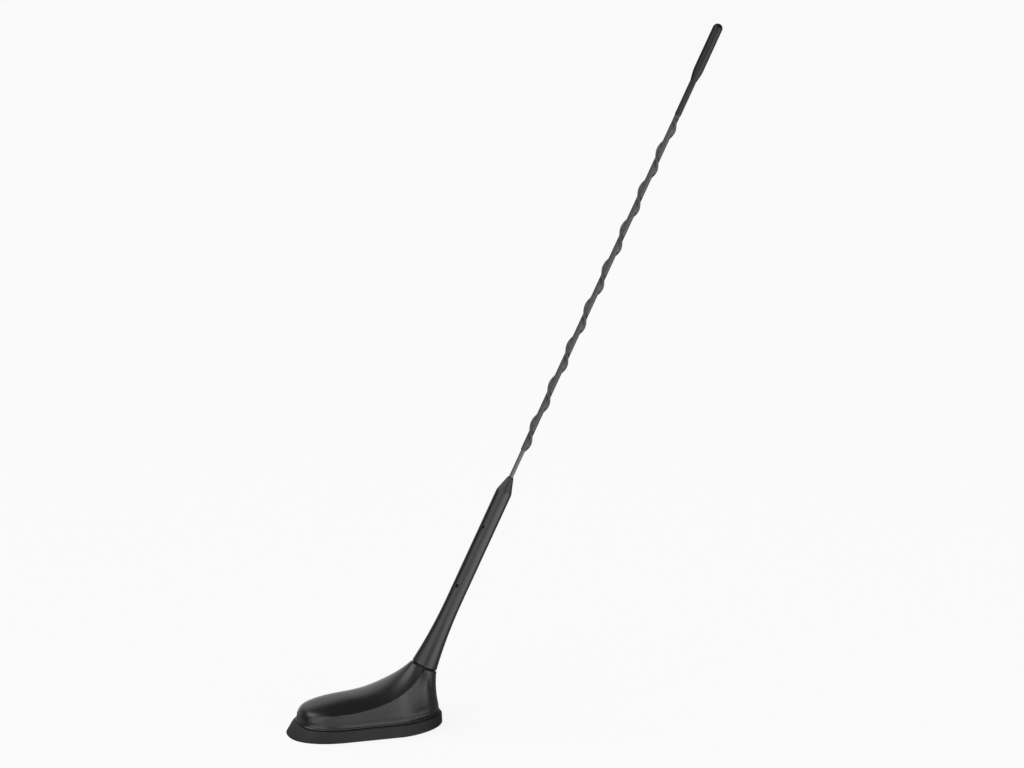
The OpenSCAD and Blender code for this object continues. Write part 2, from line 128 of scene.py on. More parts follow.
# %% [markdown]
# ## The camera
#
# The photograph looks from the aerial's left, 17 degrees down and 18 degrees round
# towards its nose, and so flatly that near and far parts keep their size. A long lens a
# long way off does the same. An orthographic camera would too, but it doesn't step back
# when another view needs more room.

# %% Camera
PIXEL = 0.5658  # millimetres to a pixel of the photograph
PHOTO_WIDTH, SENSOR = 1024, 36
AZIMUTH, ELEVATION = math.radians(-17.85), math.radians(17)
camera_far = 9.0
view_right = np.array([math.cos(AZIMUTH), math.sin(AZIMUTH), 0])
view_up = np.array([-math.sin(AZIMUTH) * math.sin(ELEVATION),
                    math.cos(AZIMUTH) * math.sin(ELEVATION), math.cos(ELEVATION)])
view_back = np.cross(view_right, view_up)
aim_right, aim_up = 83.16, 195.6  # the photograph's middle, as seen in its own plane
aim = (aim_right * view_right + aim_up * view_up) / 1000 + 0.02 * view_back

camera = bpy.data.objects.new("camera", bpy.data.cameras.new("camera"))
bpy.context.scene.collection.objects.link(camera)
camera.data.sensor_width = SENSOR
camera.data.lens = SENSOR * camera_far / (PHOTO_WIDTH * PIXEL / 1000)
camera.data.clip_end = 100
camera.location = aim + camera_far * view_back
camera.rotation_euler = (math.pi / 2 - ELEVATION, 0, AZIMUTH)
bpy.context.scene.camera = camera
place = [round(v, 2) for v in camera.location]
print("lens:", round(camera.data.lens), "mm, camera at", place)

# %% [markdown]
# ## The studio
#
# Black plastic shows little of its own colour. What the photograph shows of it is the
# room: every patch of the surface mirrors one direction. Working back from the solid's
# slope and the brightness at many places tells where the light was: a large box at the
# left, one low at the front right, one high behind the nose, weaker ones above and beside
# the camera, a weak glow straight behind, and a dark ceiling, which makes the dark band
# along the hood. So the world is nearly dark with six patches of light, each an even
# middle that fades towards its edge. The camera itself sees white behind the aerial.

# %% World
# Bearing, height, half width of the middle and of the whole (degrees), strength
PATCHES = [
    (-150, 26, 12, 46, 1.65),
    (-104, 60, 6, 30, 0.7),
    (-100, 16, 10, 40, 0.4),
    (-64, 12, 8, 28, 1.7),
    (146, 48, 5, 25, 2.4),
    (84, 14, 10, 36, 0.6)]


def rise(graph, value, low, high):
    """Climbs smoothly from 0 to 1 as value goes from low to high."""
    share = ((value - low) / (high - low)).maths("MAXIMUM", 0).maths("MINIMUM", 1)
    return share * share * (3 - share * 2)


world = bpy.data.worlds.new("studio")
bpy.context.scene.world = world
world.use_nodes = True
world.node_tree.nodes.clear()
g = Graph(world.node_tree)
sight = g.add("ShaderNodeLightPath")
look = g.add("ShaderNodeTexCoord").out("Generated")
part = g.add("ShaderNodeSeparateXYZ", sockets={0: look})
glow = 0.1
for *degrees, strength in PATCHES:
    turn, tilt, middle, whole = [math.radians(v) for v in degrees]
    toward = (part.out("X") * (math.cos(tilt) * math.cos(turn))
              + part.out("Y") * (math.cos(tilt) * math.sin(turn))
              + part.out("Z") * math.sin(tilt))
    glow = glow + rise(g, toward, math.cos(whole), math.cos(middle)) * strength
level = g.either(sight.out("Is Camera Ray"), 1, glow)
back = g.add("ShaderNodeBackground", sockets={"Color": (1, 1, 1, 1), "Strength": level})
g.add("ShaderNodeOutputWorld", sockets={"Surface": back})
bpy.context.scene.view_settings.view_transform = "Standard"
print("patches of light:", len(PATCHES), "world nodes:", len(world.node_tree.nodes))

# %% [markdown]
# The patches are only mirrored. A soft box over the aerial gives it some plain light as
# well, and is itself hidden from mirrors, or it would fill the dark band on the hood.


# %% Soft box
def soft_box(name, place, size, strength, target=(0.05, 0, 0.12)):
    """A rectangular lamp that points at the target and that mirrors don't show."""
    lamp = bpy.data.lights.new(name, "AREA")
    lamp.shape, lamp.size, lamp.size_y = "RECTANGLE", size[0], size[1]
    lamp.energy = strength
    box = bpy.data.objects.new(name, lamp)
    box.location = place
    way = Vector(target) - Vector(place)
    box.rotation_euler = way.to_track_quat("-Z", "Y").to_euler()
    box.visible_glossy = False
    bpy.context.scene.collection.objects.link(box)
    return box


soft_box("overhead", (0.0, -0.2, 1.6), (1.2, 1.0), 4)

# %% [markdown]
# ## The floor
#
# The floor is plain and white, a hair under the aerial. The lower half of the base
# mirrors it, so the floor has a second, hidden job: to each mirrored ray it is as bright
# as the photograph's reflections say. It glows on the camera's side, most of all to the
# right and in the distance, and a little at the left and behind the aerial.

# %% Floor
FLOOR_HALF, FLOOR_DROP = 30, 0.0002
floor_corners = [(x * FLOOR_HALF, y * FLOOR_HALF, -FLOOR_DROP)
                 for x, y in ((-1, -1), (1, -1), (1, 1), (-1, 1))]
floor_mesh = bpy.data.meshes.new("floor")
floor_mesh.from_pydata(floor_corners, [], [(0, 1, 2, 3)])
floor = bpy.data.objects.new("floor", floor_mesh)
bpy.context.scene.collection.objects.link(floor)
floor_finish = bpy.data.materials.new("floor")
floor_finish.use_nodes = True
floor_finish.node_tree.nodes.clear()
g = Graph(floor_finish.node_tree)
sight = g.add("ShaderNodeLightPath")
paint = g.add("ShaderNodeBsdfDiffuse", sockets={"Color": (0.9, 0.9, 0.9, 1)})
spot = g.add("ShaderNodeSeparateXYZ", sockets={0: g.add("ShaderNodeTexCoord").out("Object")})
sideways, toward_back = spot.out("X") - 0.005, spot.out("Y")
far = (toward_back * toward_back + sideways * sideways + 0.0001).maths("SQRT")
distant = rise(g, far, 0.12, 0.35)


def facing(x, y, low, high):
    """Climbs to 1 where a spot lies, seen from the aerial, in the direction (x, y)."""
    return rise(g, (sideways * x + toward_back * y) / far, low, high)


near_side = facing(0.087, -0.996, 0.3, 0.75) * 0.9 * (1 - distant * 0.6)
near_right = facing(0.819, -0.574, 0.9, 0.96) * rise(g, far, 0.09, 0.19) * 2.1
near_left = facing(-0.766, -0.643, 0.85, 0.97) * rise(g, far, 0.06, 0.16) * 0.9
behind = facing(0, 1, 0.8, 0.97) * 0.8
in_front = facing(0.12, -0.993, 0.7, 0.97) * distant * 2.2
lit = 0.15 + near_side + near_right + near_left + behind + in_front
level = g.either(sight.out("Is Camera Ray"), 1, lit)
glow = g.add("ShaderNodeEmission", sockets={"Color": (1, 1, 1, 1), "Strength": level})
share = sight.out("Is Camera Ray").maths("MAXIMUM", sight.out("Is Glossy Ray")) * 0.86
surface = g.add("ShaderNodeMixShader", sockets={0: share, 1: paint, 2: glow})
g.add("ShaderNodeOutputMaterial", sockets={"Surface": surface})
floor_mesh.materials.append(floor_finish)
print("floor nodes:", len(floor_finish.node_tree.nodes))

# %% [markdown]
# ## Finishes
#
# Every finish starts from the same Principled shader. A finish says how its colour,
# roughness and height change over the surface, always from Object coordinates, so the
# pattern keeps its real size. Marks that run along or round the mast need coordinates
# that lean with it, so the mast's foot and its lean are set down here.


# %% The base of every finish
neck = np.array([35.1, 0.0, 34.6])
lean = math.radians(25.8)


def finish_named(name):
    """A new material with its graph and its Object coordinates."""
    made = bpy.data.materials.new(name)
    made.use_nodes = True
    made.node_tree.nodes.clear()
    graph = Graph(made.node_tree)
    place = graph.add("ShaderNodeTexCoord").out("Object")
    return made, graph, place


def noise(graph, place, size_mm, detail=2, rough=0.5):
    """Noise from 0 to 1 whose blobs are about size_mm across."""
    sockets = {"Vector": place, "Scale": 1000 / size_mm, "Detail": detail, "Roughness": rough}
    return graph.add("ShaderNodeTexNoise", {"noise_dimensions": "3D"}, sockets)


def turned(graph, place, stretch):
    """Object coordinates laid along the mast and squeezed, for marks that run one way."""
    sockets = {"Vector": place, "Location": tuple(neck / 1000),
               "Rotation": (0, lean, 0), "Scale": stretch}
    return graph.add("ShaderNodeMapping", {"vector_type": "TEXTURE"}, sockets)


def close_finish(graph, colour, rough, metal=0.0, bumps=(), specular=0.5):
    """Joins colour, roughness and bumps (height wire, depth in mm) to a Principled shader."""
    normal = None
    for height, depth_mm in bumps:
        sockets = {"Height": height, "Strength": 1.0, "Distance": depth_mm / 1000}
        if normal is not None:
            sockets["Normal"] = normal
        normal = graph.add("ShaderNodeBump", sockets=sockets)
    sockets = {"Base Color": colour, "Roughness": rough, "Metallic": metal,
               "Specular IOR Level": specular}
    if normal is not None:
        sockets["Normal"] = normal
    shader = graph.add("ShaderNodeBsdfPrincipled", sockets=sockets)
    graph.add("ShaderNodeOutputMaterial", sockets={"Surface": shader})


def shades(colour, darker, lighter):
    """The colour made a little darker and a little lighter, for a mix of both."""
    return [tuple(min(c * by, 1) for c in colour) + (1,) for by in (darker, lighter)]


print("mast's foot:", neck.tolist(), "lean:", round(math.degrees(lean), 1), "degrees")

# %% [markdown]
# Moulded plastic comes out of a tool that was etched to a fine grain. The grain is a few
# tenths of a millimetre, and patches of it are a little more polished than others.


# %% Moulded plastics
def moulded_plastic(name, colour, rough, grain_mm=0.35, depth_mm=0.0015, specular=0.5):
    made, graph, place = finish_named(name)
    grain = noise(graph, place, grain_mm, detail=3)
    patches = noise(graph, place, 9, detail=2)
    specks = noise(graph, place, 1.3, detail=2, rough=0.7)
    tone = patches * 0.25 + specks * 0.35 + 0.2
    shade = graph.mix(tone, *shades(colour, 0.8, 1.25))
    gloss = rough + (patches - 0.5) * 0.1 + (specks - 0.5) * 0.12
    bumps = [(patches, 0.02), (grain, depth_mm)]
    close_finish(graph, shade, gloss, bumps=bumps, specular=specular)
    return made


housing_finish = moulded_plastic("housing plastic", (0.0075, 0.0075, 0.007), 0.28)
ferrule_finish = moulded_plastic("ferrule plastic", (0.009, 0.009, 0.0085), 0.3, 0.5, 0.005)
cap_finish = moulded_plastic("cap plastic", (0.006, 0.006, 0.006), 0.26, 0.3, 0.003, 0.28)
cord_finish = moulded_plastic("cord plastic", (0.02, 0.02, 0.02), 0.5)
print("plastics:", [m.name for m in (housing_finish, ferrule_finish, cap_finish, cord_finish)])

# %% [markdown]
# Rubber is cast or pressed, stays matt, and gets a pale bloom in patches. Shrink sleeve
# is drawn through a die before it is cut, so its fine lines run along the mast.


# %% Rubber and shrink sleeve
def rubber(name, colour):
    made, graph, place = finish_named(name)
    skin = noise(graph, place, 0.25, detail=3)
    bloom = noise(graph, place, 7, detail=4, rough=0.6)
    crumbs = noise(graph, place, 0.9, detail=3, rough=0.7)
    share = (bloom * 0.7 + crumbs * 0.5 - 0.25).maths("MINIMUM", 1)
    shade = graph.mix(share, *shades(colour, 0.78, 1.3))
    gloss = 0.6 + (bloom - 0.5) * 0.2
    close_finish(graph, shade, gloss, bumps=[(crumbs, 0.02), (skin, 0.02)], specular=0.42)
    return made


def shrink_sleeve(name, colour, rough, specular=0.5):
    made, graph, place = finish_named(name)
    lines = noise(graph, turned(graph, place, (1, 1, 40)), 0.22, detail=2)
    patches = noise(graph, place, 4, detail=3)
    shade = graph.mix(patches, *shades(colour, 0.8, 1.2))
    gloss = rough + (patches - 0.5) * 0.14 + (lines - 0.5) * 0.1
    bumps = [(patches, 0.03), (lines, 0.01)]
    close_finish(graph, shade, gloss, bumps=bumps, specular=specular)
    return made


gasket_finish = rubber("gasket rubber", (0.0088, 0.0088, 0.0074))
seal_finish = rubber("seal rubber", (0.01, 0.01, 0.01))
sleeve_finish = shrink_sleeve("shrink sleeve", (0.034, 0.034, 0.0325), 0.34)
end_sleeve_finish = shrink_sleeve("end sleeve", (0.009, 0.009, 0.009), 0.36, 0.3)
print("materials so far:", len(bpy.data.materials))

# %% [markdown]
# The metals differ in how they were shaped. The rod was drawn, so its marks run along
# it. Turned brass and plated screws have fine rings. The base plate was die-cast, which
# leaves a mottled skin with cold flow marks. The shield can is stamped from bright tin.


# %% Metals
ALONG, AROUND = (1, 1, 60), (40, 40, 1)  # how the marks are stretched on the mast's axes


def metal_finish(name, colour, rough, marks=(1, 1, 1), mark_mm=0.12, depth_mm=0.004, mottle=0.2):
    made, graph, place = finish_named(name)
    lines = noise(graph, turned(graph, place, marks), mark_mm, detail=3)
    patches = noise(graph, place, 5, detail=4, rough=0.6)
    fine = noise(graph, place, 0.6, detail=3, rough=0.7)
    tone = patches * mottle + fine * mottle * 0.6 + (0.5 - mottle * 0.8)
    shade = graph.mix(tone, *shades(colour, 0.55, 1.4))
    gloss = rough + (patches - 0.5) * 0.18 + (lines - 0.5) * 0.12
    close_finish(graph, shade, gloss, metal=1.0, bumps=[(fine, depth_mm), (lines, depth_mm)])
    return made


rod_finish = metal_finish("drawn steel", (0.1, 0.1, 0.097), 0.36, ALONG, 0.1, mottle=0.25)
plated_finish = metal_finish("zinc-plated steel", (0.62, 0.62, 0.6), 0.3, AROUND, mottle=0.3)
brass_finish = metal_finish("turned brass", (0.68, 0.5, 0.22), 0.28, AROUND, mottle=0.3)
bronze_finish = metal_finish("gilded bronze", (0.83, 0.62, 0.3), 0.22)
nickel_finish = metal_finish("nickel plate", (0.66, 0.64, 0.58), 0.22)
tin_finish = metal_finish("tinned sheet", (0.66, 0.66, 0.65), 0.3, mottle=0.4)
cast_finish = metal_finish("die casting", (0.46, 0.46, 0.45), 0.5, (1, 1, 1), 0.5, 0.03, 0.7)
print("materials so far:", len(bpy.data.materials))

# %% [markdown]
# The amplifier's board is woven glass under a green lacquer, so two crossed waves make
# the weave and the edges of Voronoi cells stand for the copper tracks. The chips and the
# jack's insulator are plain mouldings, and use the plastic from above.


# %% Board, chips and insulator
def board_laminate():
    made, graph, place = finish_named("board laminate")
    threads = {"Vector": place, "Scale": 900.0}
    weave_x, weave_y = [graph.add("ShaderNodeTexWave", {"bands_direction": way}, threads)
                        for way in "XY"]
    weave = weave_x.out("Fac") * 0.5 + weave_y.out("Fac") * 0.5
    cells = graph.add("ShaderNodeTexVoronoi", {"feature": "DISTANCE_TO_EDGE"},
                      {"Vector": place, "Scale": 330.0})
    tracks = cells.out("Distance") < 0.06
    green = graph.mix(weave * 0.3, (0.012, 0.11, 0.05, 1), (0.03, 0.2, 0.09, 1))
    shade = graph.mix(tracks * 0.6, green, (0.05, 0.3, 0.12, 1))
    close_finish(graph, shade, 0.25 + weave * 0.1, bumps=[(tracks, 0.03), (weave, 0.01)])
    return made


board_finish = board_laminate()
chip_finish = moulded_plastic("chip compound", (0.02, 0.02, 0.024), 0.5, 0.12, 0.01)
insulator_finish = moulded_plastic("white insulator", (0.75, 0.75, 0.7), 0.45, 0.4, 0.004)
print("all materials:", len(bpy.data.materials))

# %% [markdown]
# ## The base's outlines
#
# Seen from above, the base is a long rounded shape, blunter at the nose than at the
# tail. One rule draws it at every height: straight sides between two rounded ends, each
# end the half of a squared-off ellipse. Lofting rings of such points, all counted the
# same way round, gives clean quads, which a subdivided cube or a boolean wouldn't.

# %% Outlines
ARC_STEPS, SIDE_STEPS = 96, 24
# Nose, start of the front arc, start of the rear arc, tail, half width, squareness of each
ROOF_LINE = [-46, -15.8, 15.8, 45.6, 21.7, 2.27, 1.6]
RIM_LINE = [-40.8, -13.4, 12, 45.1, 20.7, 2.8, 1.8]
WALL_LINE = [-39.2, -12.5, 12, 43.2, 19, 2.6, 1.8]
GASKET_HEIGHT = 7


def inset(line, by):
    """The same outline, drawn in by so many millimetres."""
    nose, front, rear, tail, half, *square = line
    return [nose + by, front, rear, tail - by, half - by, *square]


def outline(line):
    """Points (x, y) round an outline, anticlockwise from the start of the rear arc."""
    nose, front, rear, tail, half, square_front, square_rear = line
    turn = np.radians(np.linspace(-90, 90, ARC_STEPS + 1))

    def arc(middle, reach, side, square):
        bent = lambda v: np.sign(v) * np.abs(v) ** (2 / square)
        return np.stack([middle + reach * bent(np.cos(turn)), side * bent(np.sin(turn))], 1)

    share = np.arange(1, SIDE_STEPS) / SIDE_STEPS
    left = np.stack([rear + (front - rear) * share, np.full(len(share), half)], 1)
    right = np.stack([front + (rear - front) * share, np.full(len(share), -half)], 1)
    return np.concatenate([arc(rear, tail - rear, half, square_rear), left,
                           arc(front, nose - front, -half, square_front), right])


def at_height(line, z):
    flat = outline(line)
    return np.column_stack([flat, np.full(len(flat), z)])


print("points round the base:", len(outline(RIM_LINE)))

# %% [markdown]
# A sharp edge catches no light, and nothing that is moulded has one. So an edge ring
# gives way to a short curve of rings. Where the curve must be long, as at the housing's
# nose, the rings beside it first slide along the surface to make room.


# %% Lofting rings
def bend(start, corner, end, steps):
    """A curve of rings that leaves start and reaches end, both in line with the corner."""
    return [(1 - t) ** 2 * start + 2 * t * (1 - t) * corner + t ** 2 * end for t in steps]


def soften(rings, index, reach, steps=4):
    """Rounds the edge at one ring: the ring gives way to a few along a short curve."""
    before, here, after = rings[index - 1], rings[index], rings[(index + 1) % len(rings)]

    def toward(there):
        far = np.linalg.norm(there - here, axis=1, keepdims=True) + 1e-9
        return here + (there - here) / far * np.minimum(reach, far * 0.45)

    curve = bend(toward(before), here, toward(after), np.linspace(0, 1, steps))
    return rings[:index] + curve + rings[index + 1:]


def round_off(rings, index, reach, steps=12, most=0.8):
    """Rounds the edge at one ring by a reach of its own for each point along it."""
    columns = np.array(rings)
    pace = np.linalg.norm(np.diff(columns, axis=0), axis=2)
    travelled = np.vstack([np.zeros(len(reach)), np.cumsum(pace, axis=0)])
    edge, whole = travelled[index], travelled[-1]
    reach = np.minimum(reach, np.minimum(edge, whole - edge) * most)
    below = travelled[:index + 1] * (1 - reach / edge)
    above = edge + reach + (travelled[index:] - edge) * (1 - reach / (whole - edge))

    def at(distance):
        return np.stack([[np.interp(distance[:, i], travelled[:, i], columns[:, i, axis])
                          for axis in range(3)] for i in range(len(reach))]).transpose(2, 0, 1)

    low, high = at(below), at(above)
    curve = bend(low[-1], columns[index], high[0], np.linspace(0, 1, steps)[1:-1])
    return list(low) + curve + list(high)


def piece_from(name, points, faces, finish, sharp):
    """An object at the origin, smooth except at edges over so many degrees."""
    mesh = bpy.data.meshes.new(name)
    mesh.from_pydata((np.asarray(points) / 1000).tolist(), [], faces)
    mesh.materials.append(finish)
    mesh.shade_smooth()
    mesh.set_sharp_from_angle(angle=math.radians(sharp))
    piece = bpy.data.objects.new(name, mesh)
    bpy.context.scene.collection.objects.link(piece)
    return piece


def loft(name, rings, finish, closed=False, sharp=32):
    """Quads between rings of the same count. A closed loft joins the last to the first."""
    count, last = len(rings[0]), len(rings)
    faces = []
    for j in range(last if closed else last - 1):
        low, high = j * count, ((j + 1) % last) * count
        faces += [(low + i, low + (i + 1) % count, high + (i + 1) % count, high + i)
                  for i in range(count)]
    if not closed:
        faces += [tuple(range(count))[::-1], tuple(range((last - 1) * count, last * count))]
    return piece_from(name, np.concatenate(rings), faces, finish, sharp)


print("a loft of two rings closes round the base in", len(outline(RIM_LINE)), "quads")

# %% [markdown]
# ## The mast's axis
#
# Everything on the mast turns about one leaning line. A point on it is given by its
# distance from the ferrule's foot, and a point beside it by a radius and an angle.


# %% Points along the mast
def along_mast(radius, angle, distance):
    """Points in the part's frame from cylinder coordinates about the mast (in degrees)."""
    radius, angle, distance = np.broadcast_arrays(radius, np.radians(angle), distance)
    across, side = radius * np.cos(angle), radius * np.sin(angle)
    return np.stack([neck[0] + across * math.cos(lean) + distance * math.sin(lean), side,
                     neck[2] - across * math.sin(lean) + distance * math.cos(lean)], -1)


EVEN_ROUND = np.linspace(0, 360, 96, endpoint=False)


def revolve(name, profile, finish, angles=EVEN_ROUND, closed=True, sharp=32):
    """Turns a profile of (radius, distance) points about the mast."""
    rings = [along_mast(r, angles, w) for r, w in profile]
    return loft(name, rings, finish, closed, sharp)


def ring_lines(profile, edges, reach, steps=4):
    """Rounds the named corners of a profile, each given by its place in the list."""
    points = [np.array([p], float) for p in profile]
    for index in sorted(edges, reverse=True):
        points = soften(points, index, reach, steps)
    return [tuple(p[0]) for p in points]


print("10 mm up the mast is", along_mast(0, 0, 10).round(2).tolist())

# %% [markdown]
# ## The housing
#
# The housing is one moulding. A low lip stands on the gasket, a plain wall rises from
# it to a crease, and above the crease a hood sweeps up to the neck. The crease is drawn
# first, as a curve: almost level along the side, then climbing to the neck. The hood then
# spans between the two sides of the crease along an arched section. Its rings are
# computed rather than sculpted, so that the surface is fair and its edges stay close to
# the solid's.
#
# Each point round the wall has a bearing, seen from the neck. Ahead of SWEEP_FROM the
# crease keeps to the wall, from SWEEP_TO backwards it has reached the neck, and in
# between it is on its way. Sideways it is drawn in a little sooner.

# %% The crease
SWEEP_FROM, SWEEP_TO, SWEEP_POWER, DRAWN_IN = 150, 108, 2.6, 0.8
NECK_EDGE = (-1.0, 8.0)  # distance along the mast and radius of the neck's outer edge
flat_wall = outline(WALL_LINE)
bearing = np.degrees(np.arctan2(flat_wall[:, 1], flat_wall[:, 0] - neck[0]))


def crease_line(depth):
    """The crease's outline from above, so far inside the outer skin."""
    line = inset(WALL_LINE, depth + 0.5)
    line[0] += 0.5
    return line


def crease_z(x, depth):
    """The crease's height: it climbs towards the tail and dips at the nose."""
    climb, dip = np.maximum(x + 20, 0), np.maximum(-20 - x, 0)
    return 15.6 - 0.8 * depth + 0.0056 * climb ** 2 - 0.085 * dip


def swept(angle):
    """How far the crease has left the wall for the neck, averaged so that it has no kink."""
    def share(a):
        way = (SWEEP_FROM - np.abs(a)) / (SWEEP_FROM - SWEEP_TO)
        return np.clip(way, 0, 1) ** SWEEP_POWER

    spread, weight = np.linspace(-14, 14, 15), np.cos(np.linspace(-1.5, 1.5, 15))
    return 0.96 * sum(w * share(angle + d) for d, w in zip(spread, weight)) / weight.sum()


sweep = swept(bearing)


def neck_ring(distance, radius):
    return along_mast(radius, bearing, distance)


def crease_ring(depth, distance, radius):
    flat = outline(crease_line(depth))
    foot = np.column_stack([flat, crease_z(flat[:, 0], depth)])
    share = np.column_stack([sweep, sweep ** DRAWN_IN, sweep])
    return foot + (neck_ring(distance, radius) - foot) * share


crease_low = float(crease_ring(0, *NECK_EDGE)[:, 2].min())
print("crease at the nose:", round(crease_low, 2), "mm up")

# %% [markdown]
# The hood's middle line starts at the crease's nose, rises over BROW millimetres along
# the quarter of a squared-off ellipse, and ends in the curve up to the neck. From
# HOOD_FROM round to the nose each ring lies on the arch between the crease and this
# line. Behind that, where the crease has reached the neck, it is drawn straight. The
# wall bulges a little on the neck's flank, and is hollow between foot and neck.

# %% The hood and the wall
BROW, BROW_SQUARE = 29, 1.75
HOOD_FROM = 113
FLANK_AT, FLANK_WIDTH, FLANK_BULGE = 102, 13, 1.0
NECK_HOLLOW = 3.2


def crown_z(x, depth):
    """The height of the hood's middle line."""
    start = crease_line(depth)[0]
    low = crease_z(start, depth)
    line = 21.2 - depth + 0.05 * (x + 25) + 14.2 * (np.maximum(x + 15, 0) / 43) ** 3
    u = np.clip((start + BROW - x) / BROW, 0, 1)
    return low + (line - low) * (1 - u ** BROW_SQUARE) ** (1 / BROW_SQUARE)


def hood_rings(depth, distance, radius, steps):
    """Rings between the crease and the neck, neither of them included."""
    low, high = crease_ring(depth, distance, radius), neck_ring(distance, radius)
    left = low[low[:, 1] > -0.01]
    left = left[np.argsort(left[:, 0])]

    def arch(p):
        top = crown_z(p[:, 0], depth)
        half, edge = [np.interp(p[:, 0], left[:, 0], left[:, axis]) for axis in (1, 2)]
        out = np.minimum(np.abs(p[:, 1]) / np.maximum(half, 0.1), 1)
        return top - (top - edge) * out ** 2.5

    miss_low, miss_high = low[:, 2] - arch(low), high[:, 2] - arch(high)
    arched = np.abs(bearing) > HOOD_FROM
    rings = []
    for f in (np.arange(1, steps) / steps) ** 1.9:
        p = low + (high - low) * f
        p[:, 2] = np.where(arched, arch(p) + miss_low + (miss_high - miss_low) * f, p[:, 2])
        rings.append(p)
    return rings


def wall_rings(z, steps):
    """Rings between the foot, which stands at height z, and the crease."""
    low, high = at_height(WALL_LINE, z), crease_ring(0, *NECK_EDGE)
    turn = np.radians(bearing)
    outward = np.column_stack([np.cos(turn), np.sin(turn), 0 * turn])
    flank = np.exp(-((np.abs(bearing) - FLANK_AT) / FLANK_WIDTH) ** 2)
    rings = []
    for f in np.arange(1, steps) / steps:
        bulge = FLANK_BULGE * math.sin(math.pi * f ** 2) * flank
        push = bulge - NECK_HOLLOW * f * (1 - f) * sweep
        rings.append(low + (high - low) * f + push[:, None] * outward)
    return rings


print("hood's middle line at the neck:", round(float(crown_z(28.0, 0)), 1), "mm up")

# %% [markdown]
# The shell is one closed loft. It goes up the lip, the wall and the hood, over the
# neck's edge, down the socket's seat, and back along the inside to the rim.

# %% The housing's mesh
# Height over the gasket, and how far in from the seat to the wall
LIP = [(0.4, 0), (0.8, 0.02), (1.05, 0.3), (1.35, 0.52), (1.9, 0.72), (2.6, 0.87),
       (3.4, 0.96), (4.2, 1)]
SKIN = 2.4
seat = inset(RIM_LINE, 0.9)
foot = [at_height(inset(seat, 0.4), GASKET_HEIGHT)]
for lift, share in LIP:
    z = GASKET_HEIGHT + lift
    foot.append(at_height(seat, z) * (1 - share) + at_height(WALL_LINE, z) * share)
foot = soften(foot, 2, 0.3)
sides = [foot.pop()] + wall_rings(GASKET_HEIGHT + LIP[-1][0], 12)
crease_at = len(sides)
sides += [crease_ring(0, *NECK_EDGE)] + hood_rings(0, *NECK_EDGE, 44) + [neck_ring(*NECK_EDGE)]
at_nose = np.clip((-24 - flat_wall[:, 0]) / 9, 0, 1)
sides = round_off(sides, crease_at, 0.55 + 3.2 * at_nose ** 2)
shell = foot + sides
shell = soften(shell, len(shell) - 1, 0.4)
shell += [neck_ring(distance, radius) for distance, radius in (
    (-0.5, 7.5), (-0.5, 6.4), (-1.5, 6.4), (-1.5, 4.5), (-14, 4.5), (-14, 5.3),
    (-16.5, 5.3), (-16.5, 7.2), (-11, 7.2))]
shell += hood_rings(SKIN, -10, 7.0, 14)[::-1] + [crease_ring(SKIN, -10, 7.0)]
shell += [at_height(inset(line, by), z) for line, by, z in (
    (WALL_LINE, SKIN, 11), (RIM_LINE, 4.8, 8), (RIM_LINE, 4.8, 4.6),
    (RIM_LINE, 3.2, 4.6), (RIM_LINE, 3.2, GASKET_HEIGHT))]
housing = loft("housing_shell", shell, housing_finish, closed=True, sharp=38)
print("housing:", len(housing.data.polygons), "quads")

# %% [markdown]
# ## The gasket
#
# The gasket is pressed rubber: a skirt that slopes out to the roof, a pocket that the
# plate's flange drops into, and a groove underneath that leaves two sealing edges. Its
# section is the same all round, so it is a closed loft of that section.

# %% The gasket's mesh
# Height, and how far in from the roof's outline to the rim's
SKIRT = [(0, 0), (0.6, 0.02), (2, 0.22), (3.6, 0.46), (5, 0.68), (6.2, 0.9), (6.6, 1)]


def skirt_ring(z):
    share = np.interp(z, *zip(*SKIRT))
    return at_height(ROOF_LINE, z) * (1 - share) + at_height(RIM_LINE, z) * share


skirt = [at_height(inset(ROOF_LINE, 0.5), 0)]
skirt += [skirt_ring(z) for z in (0.6, 1.3, 2, 3, 4, 5, 5.7, 6.6)]
skirt += [at_height(inset(line, by), z) for line, by, z in (
    (RIM_LINE, 0.55, GASKET_HEIGHT), (RIM_LINE, 3, GASKET_HEIGHT), (RIM_LINE, 3, 3),
    (RIM_LINE, 8, 3), (RIM_LINE, 8, 0), (RIM_LINE, 6.2, 0),
    (RIM_LINE, 6.2, 0.9), (ROOF_LINE, 4.5, 0.9), (ROOF_LINE, 4.5, 0))]
for corner, reach in ((13, 0.3), (12, 0.3), (10, 0.3), (9, 0.45), (8, 0.45), (1, 0.5)):
    skirt = soften(skirt, corner, reach)
gasket = loft("gasket_skirt", skirt, gasket_finish, closed=True, sharp=40)
print("gasket:", len(gasket.data.polygons), "quads")

# %% [markdown]
# ## The ferrule
#
# The ferrule is moulded round the stud and the rod: a flared foot, a straight grip and a
# cone. Two small round pits are left by the pins that held the rod in the mould. The
# turned surface gets extra rows and columns where the pits are, so that they can be
# sunk into it without cutting.

